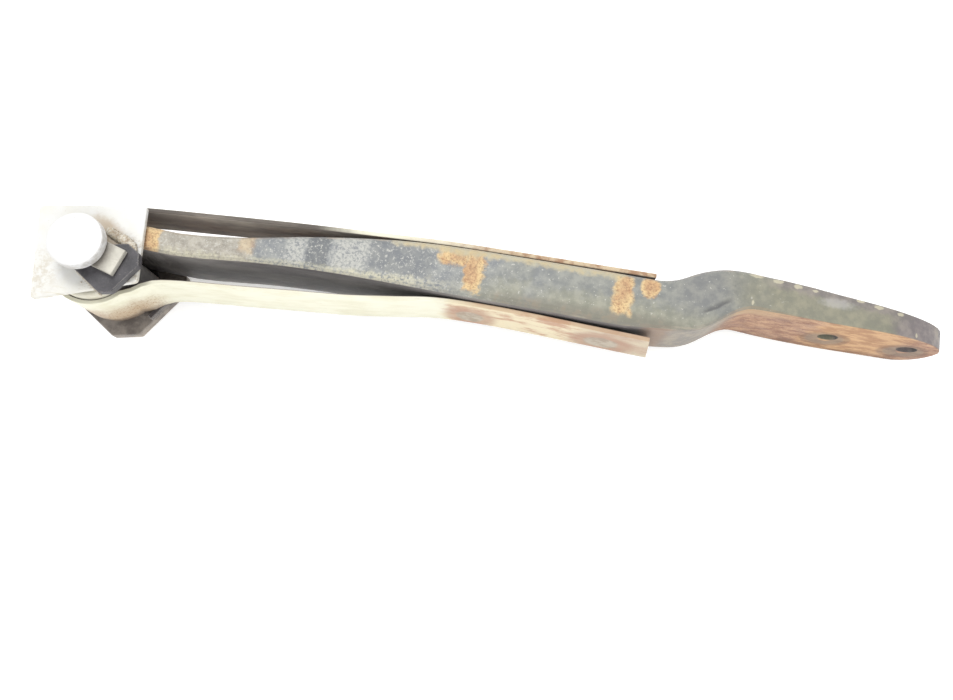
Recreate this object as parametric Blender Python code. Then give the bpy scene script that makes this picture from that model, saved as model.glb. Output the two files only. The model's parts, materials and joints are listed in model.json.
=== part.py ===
"""Air-suspension half leaf spring with its front hanger and pivot pin, lying on its side.

+X runs along the axle seat from the eye to the tail, +Z is the width of the leaves and the
direction of the pivot pin, and -Y is the side that faces up on the vehicle. The origin is the
bottom centre of the bounding box. Lengths in the constants are millimetres.
"""
import math

import bmesh
import bpy
from mathutils import Matrix, Vector

MM = 0.001
GAP = 0.3                       # clearance between touching pieces

# Place of the pivot axis and of the leaves' lower edge in the part's frame
PIVOT_X = -423.27
PIVOT_Y = -16.38
LEAF_Z = 15.0

# Main leaf
LEAF_WIDTH = 90.0
EYE_OUTER_R = 45.0
EYE_BORE_R = 27.0
EYE_ARM_START = 34.0
EYE_TIP_ANGLE = 10.0
EYE_EDGE = 5.5
EYE_INSET = 0.1                 # the rolled eye is this much narrower, at each edge, than the leaf
LEAF_EDGE_R = 7.5
TAIL_END = 908.4
TAIL_ROUND_UPPER = 104.0         # length over which the tail's upper corner is rounded
TAIL_ROUND_LOWER = 32.0
PAD_START = 700.0
TAIL_HOLE_R = 10.5
TAIL_HOLES_X = (790.5, 876.0)
TAIL_LOW = -9.0                 # the tail is forged wider: its lower edge, from the leaf's
TAIL_WIDENS = (655.0, 715.0)
# (distance from the pivot, vehicle-bottom face, vehicle-top face), offsets from the pivot
LEAF_STATIONS = (
    (EYE_ARM_START, 45.0, 18.0), (54.0, 43.4, 16.0), (80.0, 41.7, 14.6), (110.0, 43.1, 15.8),
    (165.0, 49.8, 20.6), (215.0, 59.2, 23.0), (268.0, 66.8, 23.6), (320.0, 72.5, 22.6),
    (372.0, 75.0, 21.2), (480.0, 75.0, 19.3), (560.0, 74.2, 17.2), (592.0, 73.8, 19.8),
    (606.0, 75.6, 21.0), (618.0, 79.6, 22.2), (630.0, 86.0, 24.0), (640.0, 90.6, 27.0),
    (650.0, 94.0, 31.8), (660.0, 96.5, 38.6), (670.0, 97.6, 46.0), (680.0, 97.9, 52.4),
    (694.0, 97.2, 57.0), (740.0, 92.2, 56.2), (789.0, 86.5, 54.8), (850.0, 80.9, 54.8),
    (TAIL_END, 77.0, 54.8),
)

# Strap leaves
STRAP_THICK = 5.0
STRAP_WIDTH = 70.0
STRAP_END_SLANT = 5.0
BOTTOM_STRAP_EDGES = (26.0, 80.0)    # its lower and upper edge, from the leaf's lower edge
WRAP_CLEAR = 0.4
WRAP_START_ANGLE = 218.0
WRAP_END_ANGLE = 318.0
TOP_STRAP_LINE = (
    (47.0, -27.0), (56.0, -20.2), (67.0, -15.2), (85.0, -12.0), (115.0, -9.3), (160.0, -6.0),
    (215.0, -1.5), (270.0, 3.0), (325.0, 10.3), (355.0, 14.8), (385.0, 16.7), (440.0, 16.4),
    (516.0, 13.0), (592.0, 9.6), (598.0, 9.33),
)
BOTTOM_STRAP_LINE = (
    (6.0, 59.6), (36.0, 62.5), (66.0, 64.7), (99.0, 66.7), (153.0, 70.0), (207.0, 73.0), (262.0, 75.4),
    (316.0, 77.6), (370.0, 79.4), (430.0, 79.6), (510.0, 79.6), (592.0, 79.6),
)

# Eye bush
SHELL_WALL = 3.0
SLEEVE_OUTER_R = 20.0
PIN_R = 15.0
BUSH_LENGTH = 86.0

# Hanger
WASHER_THICK = 2.4
WASHER_R = 38.0
CHEEK_THICK = 6.0
CHEEK_CORNERS = ((-62.0, 43.5), (50.0, 61.0), (60.0, -22.0), (-44.0, -58.0))
CHEEK_CORNER_R = 4.0
CHEEK_TURN = 11.0
WEB_FACE = 54.0                 # outer face of the web, from the pivot
WEB_THICK = 7.5
WEB_SPAN = (-12.0, 33.0)
ANCHOR_CENTRE = (3.0, -4.0)
ANCHOR_HALF = 53.0
ANCHOR_THICK = 12.0
ANCHOR_CHAMFERS = (10.0, 12.0, 20.0, 22.0)
LUG_SPAN = (-9.0, 24.0)        # along the anchor plate's first side, from its middle
LUG_THICK = 6.0
LUG_HEIGHT = 7.7
PLATE_TURN = -33.0
RECESS_R = 22.0
RECESS_DEPTH = 5.0
CIRCLIP_OUTER_R = 20.0
CIRCLIP_THICK = 2.0
CIRCLIP_OPENING = 50.0           # degrees left open between its ends

# Pin head and its keeper
KEEPER_CENTRE = (28.2, -7.6)
KEEPER_HALF = 28.0
KEEPER_THICK = 10.0
KEEPER_CHAMFERS = (9.0, 31.0, 9.0, 9.0)
BLOCK_END = (44.4, -9.3)       # middle of the block's outer edge
BLOCK_LENGTH = 37.0
BLOCK_WIDTH = 29.0
BLOCK_THICK = 7.0
BLOCK_TURN = 163.0             # the way the block reaches from there to the pin
NECK_CLEAR = 2.0
HEAD_R = 28.5
HEAD_OFFSET = (0.8, 4.4)       # the head is forged a little off the pin's axis
HEAD_THICK = 12.0
HEAD_GAP = 1.0


def clear_scene():
    for obj in list(bpy.data.objects):
        bpy.data.objects.remove(obj, do_unlink=True)


def material(name, colour, roughness, metallic):
    mat = bpy.data.materials.new(name)
    mat.use_nodes = True
    shader = mat.node_tree.nodes["Principled BSDF"]
    shader.inputs["Base Color"].default_value = (*colour, 1.0)
    shader.inputs["Roughness"].default_value = roughness
    shader.inputs["Metallic"].default_value = metallic
    return mat


def polar(radius, degrees, centre=(0.0, 0.0)):
    angle = math.radians(degrees)
    return (centre[0] + radius * math.cos(angle), centre[1] + radius * math.sin(angle))


def arc(radius, start, end, steps, centre=(0.0, 0.0)):
    return [polar(radius, start + (end - start) * i / steps, centre) for i in range(steps + 1)]


def smooth_value(stations, x, column):
    """Monotone-free cubic (Catmull-Rom in x) through one column of a station table."""
    last = len(stations) - 1
    i = 0
    while i < last - 1 and x > stations[i + 1][0]:
        i += 1
    x0, x1 = stations[i][0], stations[i + 1][0]
    y0, y1 = stations[i][column], stations[i + 1][column]

    def slope(k):
        low = max(k - 1, 0)
        high = min(k + 1, last)
        return (stations[high][column] - stations[low][column]) / (stations[high][0] - stations[low][0])

    span = x1 - x0
    t = (x - x0) / span
    hermite = (2 * t**3 - 3 * t**2 + 1, t**3 - 2 * t**2 + t, -2 * t**3 + 3 * t**2, t**3 - t**2)
    return hermite[0] * y0 + hermite[1] * span * slope(i) + hermite[2] * y1 + hermite[3] * span * slope(i + 1)


def offset_line(line, distance):
    """The line moved sideways, to its left for a positive distance."""
    moved = []
    for i, point in enumerate(line):
        before = Vector(line[max(i - 1, 0)])
        after = Vector(line[min(i + 1, len(line) - 1)])
        along = (after - before).normalized()
        moved.append((point[0] - along.y * distance, point[1] + along.x * distance))
    return moved


def rounded_polygon(corners, radius, steps=4):
    """Corners replaced by tangent arcs; the corners run clockwise or anticlockwise."""
    outline = []
    count = len(corners)
    for i in range(count):
        corner = Vector(corners[i])
        to_before = (Vector(corners[i - 1]) - corner).normalized()
        to_after = (Vector(corners[(i + 1) % count]) - corner).normalized()
        half = 0.5 * to_before.angle(to_after)
        reach = radius / math.tan(half)
        centre = corner + (to_before + to_after).normalized() * (radius / math.sin(half))
        first = corner + to_before * reach - centre
        sweep = -first.angle_signed(corner + to_after * reach - centre)
        start = math.degrees(math.atan2(first.y, first.x))
        outline += arc(radius, start, start + math.degrees(sweep), steps, centre)
    return outline


def chamfered_square(half, chamfers, turn, centre=(0.0, 0.0)):
    """A square turned by some degrees; chamfers[k] cuts the corner after its side k."""
    corners = []
    for k in range(4):
        for point in ((half, chamfers[k - 1] - half), (half, half - chamfers[k])):
            spun = Vector(point)
            spun.rotate(Matrix.Rotation(math.radians(turn + 90.0 * k), 2))
            corners.append((centre[0] + spun.x, centre[1] + spun.y))
    return corners


def link_mesh(name, mesh, mat):
    """The mesh becomes an object whose origin is on the pivot axis."""
    mesh.name = name
    obj = bpy.data.objects.new(name, mesh)
    bpy.context.scene.collection.objects.link(obj)
    if mat is not None:
        mesh.materials.append(mat)
    return obj


def finish_bmesh(bm, name, mat):
    bmesh.ops.recalc_face_normals(bm, faces=bm.faces)
    bmesh.ops.scale(bm, vec=(MM, MM, MM), verts=bm.verts)
    mesh = bpy.data.meshes.new(name)
    bm.to_mesh(mesh)
    bm.free()
    return link_mesh(name, mesh, mat)


def prism(name, outline, z_low, z_high, mat, bevel=0.0, segments=2, end_slant=0.0, slant_from=0.0):
    """An outline in X and Y, extruded from z_low to z_high. end_slant leans what lies past
    slant_from: its upper edge back and its lower edge forward."""
    bm = bmesh.new()
    ring = [bm.verts.new((x, y, z_low)) for x, y in outline]
    face = bm.faces.new(ring)
    grown = bmesh.ops.extrude_face_region(bm, geom=[face])
    top = [v for v in grown["geom"] if isinstance(v, bmesh.types.BMVert)]
    bmesh.ops.translate(bm, verts=top, vec=(0.0, 0.0, z_high - z_low))
    if end_slant:
        for vert in bm.verts:
            if vert.co.x > slant_from:
                vert.co.x += end_slant if vert.co.z < 0.5 * (z_low + z_high) else -end_slant
    obj = finish_bmesh(bm, name, mat)
    if bevel:
        add_bevel(obj, bevel, segments)
    return obj


def turned(name, profile, mat, steps=48):
    """A closed profile of (radius, z) points spun once round the pivot axis."""
    bm = bmesh.new()
    rings = []
    for i in range(steps):
        angle = 2.0 * math.pi * i / steps
        rings.append([bm.verts.new((r * math.cos(angle), r * math.sin(angle), z)) if r > 0.0 or i == 0
                      else rings[0][k] for k, (r, z) in enumerate(profile)])
    closed = profile[0][0] > 0.0
    spans = range(len(profile)) if closed else range(len(profile) - 1)
    for i in range(steps):
        here, following = rings[i], rings[(i + 1) % steps]
        for k in spans:
            after = (k + 1) % len(profile)
            corners = [here[k], here[after], following[after], following[k]]
            kept = []
            for vert in corners:
                if vert not in kept:
                    kept.append(vert)
            bm.faces.new(kept)
    return finish_bmesh(bm, name, mat)


def add_bevel(obj, width, segments, angle=40.0):
    bevel = obj.modifiers.new("edges", "BEVEL")
    bevel.width = width * MM
    bevel.segments = segments
    bevel.limit_method = "ANGLE"
    bevel.angle_limit = math.radians(angle)
    return bevel


def boolean(obj, cutter, operation):
    modifier = obj.modifiers.new(operation.lower(), "BOOLEAN")
    modifier.operation = operation
    modifier.object = cutter
    cutter.hide_render = True
    cutter.display_type = "WIRE"


def cylinder_cutter(name, radius, start, direction, length, steps=32):
    bm = bmesh.new()
    bmesh.ops.create_cone(bm, cap_ends=True, segments=steps, radius1=radius, radius2=radius, depth=length)
    turn = Vector((0.0, 0.0, 1.0)).rotation_difference(Vector(direction)).to_matrix().to_4x4()
    bmesh.ops.transform(bm, matrix=Matrix.Translation(start) @ turn, verts=bm.verts)
    return finish_bmesh(bm, name, None)


def smooth_shade(obj, angle=30.0):
    obj.data.shade_smooth()
    obj.data.set_sharp_from_angle(angle=math.radians(angle))


def arm_section(x, back, front, low, high, radius, steps=3):
    """A rounded rectangle across the leaf at x, as points (x, y, z)."""
    corner = min(radius, 0.45 * (back - front), 0.45 * (high - low))
    section = []
    for k, (y, z) in enumerate(((back - corner, high - corner), (front + corner, high - corner),
                                (front + corner, low + corner), (back - corner, low + corner))):
        for step in range(steps + 1):
            dy, dz = polar(corner, 90.0 * k + 90.0 * step / steps)
            section.append((x, y + dy, z + dz))
    return section


def leaf_edge_radius(x):
    """The rolled edge of the leaf fades to a small break at the air spring pad."""
    fade = min(max((x - PAD_START) / 40.0, 0.0), 1.0)
    return LEAF_EDGE_R + (1.6 - LEAF_EDGE_R) * fade


def lower_edge(x):
    """Height of the leaf's lower edge: it drops where the tail widens."""
    fade = min(max((x - TAIL_WIDENS[0]) / (TAIL_WIDENS[1] - TAIL_WIDENS[0]), 0.0), 1.0)
    return TAIL_LOW * fade * fade * (3.0 - 2.0 * fade)


def rounded_off(x, half, rounding):
    """What is left of half the width at x where an elliptic corner of that length closes the tail."""
    reach = max((x - (TAIL_END - rounding)) / rounding, 0.0)
    return half * math.sqrt(max(1.0 - reach**2, 0.0))


def leaf_positions():
    """Stations along the arm: close in the S-bend and towards the rounded end."""
    straight = [EYE_ARM_START + (590.0 - EYE_ARM_START) * i / 22 for i in range(23)]
    bend = [590.0 + 110.0 * i / 20 for i in range(1, 21)]
    tip_start = TAIL_END - TAIL_ROUND_UPPER
    tail = [700.0 + (tip_start - 700.0) * i / 4 for i in range(1, 5)]
    tip = [tip_start + TAIL_ROUND_UPPER * math.sin(math.radians(7.0 * i)) for i in range(1, 13)]
    return straight + bend + tail + tip


def make_main_leaf(mat):
    bm = bmesh.new()
    rings = []
    for x in leaf_positions():
        back = smooth_value(LEAF_STATIONS, x, 1)
        front = smooth_value(LEAF_STATIONS, x, 2)
        middle = (LEAF_WIDTH + lower_edge(x)) / 2.0
        low = middle - rounded_off(x, middle - lower_edge(x), TAIL_ROUND_LOWER)
        high = middle + rounded_off(x, LEAF_WIDTH - middle, TAIL_ROUND_UPPER)
        section = arm_section(x, back, front, low, high, leaf_edge_radius(x))
        rings.append([bm.verts.new(point) for point in section])
    for here, following in zip(rings, rings[1:]):
        count = len(here)
        for k in range(count):
            bm.faces.new((here[k], here[(k + 1) % count], following[(k + 1) % count], following[k]))
    bm.faces.new(rings[0])
    bm.faces.new(rings[-1])
    leaf = finish_bmesh(bm, "main_leaf", mat)

    start = 68.0
    ring = arc(EYE_OUTER_R, start, 360.0 + EYE_TIP_ANGLE, 44)
    ring += arc(EYE_BORE_R, 360.0 + EYE_TIP_ANGLE, start - 8.0, 40)
    ring += [(26.0, 17.6), (44.0, 16.9), (44.0, 43.0)]
    eye = prism("eye_ring", ring, EYE_INSET, LEAF_WIDTH - EYE_INSET, mat, bevel=EYE_EDGE, segments=3)
    boolean(leaf, eye, "UNION")
    for k, x in enumerate(TAIL_HOLES_X):
        centre = (x, 70.0, (LEAF_WIDTH + TAIL_LOW) / 2.0)
        drill = cylinder_cutter("tail_drill_%d" % k, TAIL_HOLE_R, centre, (0.0, 1.0, 0.0), 60.0)
        boolean(leaf, drill, "DIFFERENCE")
    smooth_shade(leaf, 35.0)
    return leaf


def dense_line(line, spacing=9.0):
    """The same line with more points, on a smooth curve through the given ones."""
    dense = []
    for i in range(len(line) - 1):
        length = line[i + 1][0] - line[i][0]
        count = max(1, round(length / spacing)) if length < 60.0 else 4
        for step in range(count):
            x = line[i][0] + length * step / count
            dense.append((x, smooth_value(line, x, 1)))
    dense.append(line[-1])
    return dense


def make_top_strap(mat):
    wrap_r = EYE_OUTER_R + WRAP_CLEAR + STRAP_THICK / 2.0
    line = arc(wrap_r, WRAP_START_ANGLE, WRAP_END_ANGLE, 20) + dense_line(TOP_STRAP_LINE)
    outline = offset_line(line, STRAP_THICK / 2.0) + offset_line(line, -STRAP_THICK / 2.0)[::-1]
    margin = (LEAF_WIDTH - STRAP_WIDTH) / 2.0
    strap = prism("top_wrapper_leaf", outline, margin, LEAF_WIDTH - margin, mat, bevel=1.0,
                  end_slant=STRAP_END_SLANT, slant_from=597.0)
    smooth_shade(strap)
    return strap


def make_bottom_strap(mat):
    line = dense_line(BOTTOM_STRAP_LINE)
    outline = offset_line(line, STRAP_THICK / 2.0) + offset_line(line, -STRAP_THICK / 2.0)[::-1]
    strap = prism("bottom_strap_leaf", outline, *BOTTOM_STRAP_EDGES, mat, bevel=1.0)
    smooth_shade(strap)
    return strap


def ring_profile(inner, outer, z_low, z_high, chamfer):
    return [(outer - chamfer, z_low), (outer, z_low + chamfer), (outer, z_high - chamfer),
            (outer - chamfer, z_high), (inner, z_high), (inner, z_low)]


def make_bush(steel, rubber):
    low = (LEAF_WIDTH - BUSH_LENGTH) / 2.0
    high = low + BUSH_LENGTH
    shell_outer = EYE_BORE_R - GAP
    shell_inner = shell_outer - SHELL_WALL
    shell = turned("eye_bush_shell", ring_profile(shell_inner, shell_outer, low, high, 0.8), steel)
    filling = turned("eye_bush_rubber",
                     ring_profile(SLEEVE_OUTER_R + GAP, shell_inner - GAP, low + 2.0, high - 2.0, 1.5), rubber)
    reach = WASHER_THICK + 2.0 * GAP
    sleeve = turned("eye_bush_sleeve",
                    ring_profile(PIN_R + GAP, SLEEVE_OUTER_R, GAP - reach, LEAF_WIDTH + reach - GAP, 0.6), steel)
    for obj in (shell, filling, sleeve):
        smooth_shade(obj)
    return shell, filling, sleeve


def make_thrust_washers(mat):
    washers = []
    for name, z_low in (("lower_thrust_washer", -GAP - WASHER_THICK), ("upper_thrust_washer", LEAF_WIDTH + GAP)):
        profile = ring_profile(SLEEVE_OUTER_R + GAP, WASHER_R, z_low, z_low + WASHER_THICK, 0.4)
        washer = turned(name, profile, mat)
        smooth_shade(washer)
        washers.append(washer)
    return washers


def cheek_bottom():
    return LEAF_WIDTH + WASHER_THICK + 2.0 * GAP


def cheek_top():
    return cheek_bottom() + CHEEK_THICK


def anchor_top():
    return -WASHER_THICK - 2.0 * GAP


def make_cheek(mat):
    outline = rounded_polygon(CHEEK_CORNERS, CHEEK_CORNER_R)
    cheek = prism("upper_cheek_plate", outline, cheek_bottom(), cheek_top(), mat, bevel=0.8, segments=1)
    bore = cylinder_cutter("cheek_bore", PIN_R + GAP, (0.0, 0.0, cheek_top()), (0.0, 0.0, 1.0), 40.0, 48)
    boolean(cheek, bore, "DIFFERENCE")
    smooth_shade(cheek)
    return cheek


def make_anchor_plate(mat):
    outline = chamfered_square(ANCHOR_HALF, ANCHOR_CHAMFERS, PLATE_TURN, ANCHOR_CENTRE)
    plate = prism("lower_anchor_plate", outline, anchor_top() - ANCHOR_THICK, anchor_top(), mat, bevel=1.2)
    bore = cylinder_cutter("anchor_bore", PIN_R + GAP, (0.0, 0.0, anchor_top()), (0.0, 0.0, 1.0), 60.0, 48)
    boolean(plate, bore, "DIFFERENCE")
    recess_centre = (0.0, 0.0, anchor_top() - ANCHOR_THICK)
    recess = cylinder_cutter("anchor_recess", RECESS_R, recess_centre, (0.0, 0.0, 1.0), 2.0 * RECESS_DEPTH, 48)
    boolean(plate, recess, "DIFFERENCE")
    smooth_shade(plate)
    return plate


def make_lug(mat):
    """A stop bar standing on the edge of the anchor plate's first side."""
    outline = []
    for inward, along in ((LUG_THICK, LUG_SPAN[0]), (0.0, LUG_SPAN[0]), (0.0, LUG_SPAN[1]), (LUG_THICK, LUG_SPAN[1])):
        edge = polar(ANCHOR_HALF - inward, PLATE_TURN, ANCHOR_CENTRE)
        outline.append(polar(along, PLATE_TURN + 90.0, edge))
    low = anchor_top() + GAP
    return prism("anchor_lug", outline, low, low + LUG_HEIGHT, mat, bevel=0.8, segments=1)


def make_circlip(mat):
    """Retaining ring round the pin's lower end, in the recess of the anchor plate."""
    half_open = CIRCLIP_OPENING / 2.0
    outline = arc(CIRCLIP_OUTER_R, half_open - 90.0, 270.0 - half_open, 32)
    outline += arc(PIN_R + GAP, 270.0 - half_open, half_open - 90.0, 32)
    top = anchor_top() - ANCHOR_THICK + RECESS_DEPTH - GAP
    clip = prism("pin_circlip", outline, top - CIRCLIP_THICK, top, mat)
    smooth_shade(clip)
    return clip


def make_web(mat):
    """The upright wall that joins the cheek to the anchor plate on the far side of the eye."""
    low_y, high_y = WEB_SPAN
    corners = [(-WEB_FACE, low_y), (WEB_THICK - WEB_FACE, low_y), (WEB_THICK - WEB_FACE, high_y),
               (-WEB_FACE, high_y)]
    turn = Matrix.Rotation(math.radians(-CHEEK_TURN), 2)
    outline = [tuple(turn @ Vector(corner)) for corner in corners]
    return prism("hanger_web", outline, anchor_top() + GAP, cheek_bottom() - GAP, mat, bevel=1.0)


def make_keeper(plate_mat, block_mat):
    outline = chamfered_square(KEEPER_HALF, KEEPER_CHAMFERS, PLATE_TURN, KEEPER_CENTRE)
    low = cheek_top() + GAP
    plate = prism("keeper_plate", outline, low, low + KEEPER_THICK, plate_mat, bevel=1.0)
    relief = cylinder_cutter("keeper_relief", PIN_R + NECK_CLEAR, (0.0, 0.0, low), (0.0, 0.0, 1.0), 80.0, 48)
    boolean(plate, relief, "DIFFERENCE")
    low += KEEPER_THICK + GAP
    block_outline = []
    for along, side in ((0.0, -90.0), (BLOCK_LENGTH, -90.0), (BLOCK_LENGTH, 90.0), (0.0, 90.0)):
        edge = polar(BLOCK_WIDTH / 2.0, BLOCK_TURN + side, BLOCK_END)
        block_outline.append(polar(along, BLOCK_TURN, edge))
    block = prism("keeper_block", block_outline, low, low + BLOCK_THICK, block_mat, bevel=1.0)
    boolean(block, relief, "DIFFERENCE")
    return plate, block


def make_pin(mat):
    bottom = anchor_top() - ANCHOR_THICK + 1.0
    head = cheek_top() + KEEPER_THICK + BLOCK_THICK + 2.0 * GAP + HEAD_GAP
    profile = [(0.0, bottom), (PIN_R - 1.5, bottom), (PIN_R, bottom + 1.5), (PIN_R, head - 1.5),
               (PIN_R + 1.5, head), (HEAD_R - 0.8, head), (HEAD_R, head + 0.8),
               (HEAD_R, head + HEAD_THICK - 2.0), (HEAD_R - 0.6, head + HEAD_THICK - 0.6),
               (HEAD_R - 2.0, head + HEAD_THICK), (0.0, head + HEAD_THICK)]
    pin = turned("pivot_pin", profile, mat, steps=64)
    for vert in pin.data.vertices:
        if vert.co.z > (head + 0.5) * MM or math.hypot(vert.co.x, vert.co.y) > (PIN_R + 2.0) * MM:
            vert.co.x += HEAD_OFFSET[0] * MM
            vert.co.y += HEAD_OFFSET[1] * MM
    smooth_shade(pin)
    return pin


def make_assembly():
    clear_scene()
    leaf_steel = material("leaf_steel", (0.10, 0.105, 0.10), 0.6, 0.3)
    strap_paint = material("strap_paint", (0.72, 0.66, 0.50), 0.6, 0.0)
    strap_rust = material("strap_rust", (0.30, 0.24, 0.19), 0.75, 0.1)
    hanger_paint = material("hanger_paint", (0.86, 0.85, 0.78), 0.5, 0.0)
    dark_steel = material("dark_steel", (0.05, 0.045, 0.05), 0.5, 0.5)
    bare_steel = material("bare_steel", (0.55, 0.54, 0.50), 0.45, 0.6)
    pin_steel = material("pin_steel", (0.90, 0.90, 0.88), 0.35, 0.2)
    bush_rubber = material("bush_rubber", (0.02, 0.02, 0.02), 0.85, 0.0)

    leaf_pack = [make_main_leaf(leaf_steel), make_top_strap(strap_paint), make_bottom_strap(strap_rust)]
    shell, filling, sleeve = make_bush(bare_steel, bush_rubber)
    leaf_pack += [shell, filling]
    hanger = [sleeve, make_cheek(hanger_paint), make_anchor_plate(dark_steel), make_web(hanger_paint)]
    hanger.append(make_lug(dark_steel))
    hanger += make_thrust_washers(bush_rubber)
    hanger += make_keeper(dark_steel, bare_steel)
    hanger.append(make_pin(pin_steel))
    hanger.append(make_circlip(bare_steel))

    for name, pieces in (("leaf_pack_on_pivot", leaf_pack), ("hanger_on_pivot", hanger)):
        pivot = bpy.data.objects.new(name, None)
        bpy.context.scene.collection.objects.link(pivot)
        pivot.location = (PIVOT_X * MM, PIVOT_Y * MM, LEAF_Z * MM)
        for piece in pieces:
            piece.parent = pivot
    helpers = [obj for obj in bpy.data.objects if obj.type == "MESH" and obj.hide_render]
    for helper in helpers:
        helper.location = (PIVOT_X * MM, PIVOT_Y * MM, LEAF_Z * MM)


make_assembly()
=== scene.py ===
import json
import math
import random

import bmesh
import bpy
from mathutils import Euler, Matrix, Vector


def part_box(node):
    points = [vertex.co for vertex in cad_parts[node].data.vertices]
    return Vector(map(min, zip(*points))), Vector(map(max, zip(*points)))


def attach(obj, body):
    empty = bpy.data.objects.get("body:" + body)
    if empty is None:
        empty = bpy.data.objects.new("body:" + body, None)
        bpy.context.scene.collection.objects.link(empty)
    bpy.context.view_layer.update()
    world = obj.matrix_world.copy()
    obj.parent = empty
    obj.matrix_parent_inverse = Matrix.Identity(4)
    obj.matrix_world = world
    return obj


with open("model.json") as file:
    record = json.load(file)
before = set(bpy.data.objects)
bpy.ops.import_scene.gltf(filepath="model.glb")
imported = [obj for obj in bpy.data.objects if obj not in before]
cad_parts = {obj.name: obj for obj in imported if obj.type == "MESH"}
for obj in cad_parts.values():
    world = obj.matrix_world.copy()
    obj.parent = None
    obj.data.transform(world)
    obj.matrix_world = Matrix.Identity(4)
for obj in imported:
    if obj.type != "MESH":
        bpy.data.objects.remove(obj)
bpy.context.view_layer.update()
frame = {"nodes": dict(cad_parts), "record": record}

MM = 0.001
PIVOT = Vector(frame["record"]["behaviour"]["joints"][0]["pos_m"])
LEAF_LOW_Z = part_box("main_leaf")[0].z
CHEEK_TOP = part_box("upper_cheek_plate")[1].z
CHEEK_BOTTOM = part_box("upper_cheek_plate")[0].z
ANCHOR_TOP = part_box("lower_anchor_plate")[1].z
LIGHT_GAIN = 1.75               # how much brighter than its own colour an upward face shows

# Marks on the leaf, mm from the pivot's axis and, for Z, from the leaf's lower edge
TAIL_HOLES_X = (790.5, 876.0)
TAIL_HOLES_Z = 40.5
TAIL_CHIPS = (                  # (centre, radii) on the upper face, x and y
    ((694.0, 94.0), (7.0, 2.6)), ((716.0, 91.0), (6.0, 2.2)), ((737.0, 88.8), (4.5, 2.6)),
    ((755.0, 86.8), (3.0, 1.4)), ((802.0, 83.6), (4.0, 1.6)), ((822.0, 80.2), (5.0, 2.0)),
    ((846.0, 77.4), (3.5, 1.8)), ((692.0, 64.0), (1.2, 2.6)), ((866.0, 59.5), (1.2, 2.6)),
)
WRAPPER_OVALS = ((402.0, 16.0), (548.0, 20.0))      # (centre x, half length) of its rubbed spots
SHANK_TOP = (108.0, 104.0)      # the pin's head ends and its shank begins

# Welds, mm from the pivot's axis
KEEPER_CENTRE = (28.2, -7.6)
KEEPER_HALF = 28.6              # a little more than the keeper plate's, so its bead stands outside
KEEPER_CHAMFER = 9.0
KEEPER_TURN = -33.0
BROAD_BEAD = ((53.0, 8.5), (46.0, 13.5), (38.0, 18.5), (30.0, 21.5), (22.0, 25.0), (15.0, 30.0))
WEB_FACE = 54.0
WEB_SPAN = (-10.0, 31.0)
WEB_TURN = 11.0
SPATTER = (                     # (x, y, radius) on the cheek plate
    (47.0, 17.0, 1.6), (41.0, 21.0, 1.1), (51.0, 13.0, 1.0), (9.0, -27.0, 1.6), (5.0, -24.0, 1.1),
    (4.0, -32.0, 0.9), (22.0, -40.0, 1.3), (28.0, -41.5, 0.9), (58.0, 3.0, 0.9),
)

# The floor, in metres: it rises from the anchor plate to the tail's lower edge
FLOOR_HALF = 6.0
FLOOR_LOW_X = -0.36
FLOOR_SLOPE = 0.0060 / 0.84
FLOOR_DROP = 0.0005             # kept between it and the anchor plate


def at_pivot(x, y, z):
    """A point x, y mm from the pivot's axis at world height z in metres."""
    return Vector((PIVOT.x + x * MM, PIVOT.y + y * MM, z))


def tone(red, green, blue):
    """The surface colour that shows as this 0..255 colour on a face turned up to the light."""
    values = []
    for channel in (red, green, blue):
        c = channel / 255.0
        linear = c / 12.92 if c <= 0.04045 else ((c + 0.055) / 1.055) ** 2.4
        values.append(min(linear / LIGHT_GAIN, 0.9))
    return (*values, 1.0)


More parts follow.
